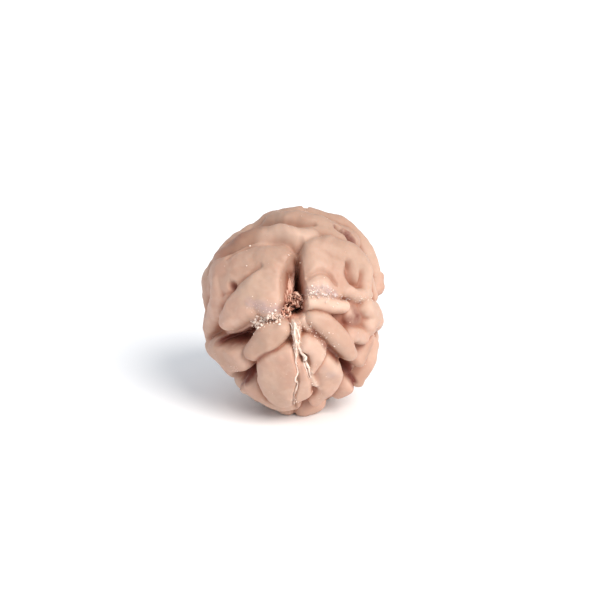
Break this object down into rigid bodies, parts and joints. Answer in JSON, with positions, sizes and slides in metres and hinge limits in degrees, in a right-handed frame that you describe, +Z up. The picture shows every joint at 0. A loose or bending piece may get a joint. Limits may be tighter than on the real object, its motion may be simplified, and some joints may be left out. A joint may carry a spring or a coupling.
{
  "type": "rudraksha bead",
  "caption": "Dry fruit stone threaded as a prayer bead: deep rounded lobes all over, seams that meet at a slit mouth, and a narrow threading hole from the mouth to the far end.",
  "frame": {"origin": "middle of the footprint of the bead's box, on the surface that it lies on", "axes": "+Z up, -Y towards the mouth's side, which faces forwards and 20 degrees upwards, +X to the right seen from there"},
  "size_m": [0.0184, 0.0188, 0.0203],
  "materials": {
    "fruit_stone": "dry, dull fruit stone, pale reddish brown with darker clefts"
  },
  "bodies": {
    "root": {"bead": "fruit_stone"}
  },
  "joints": []
}
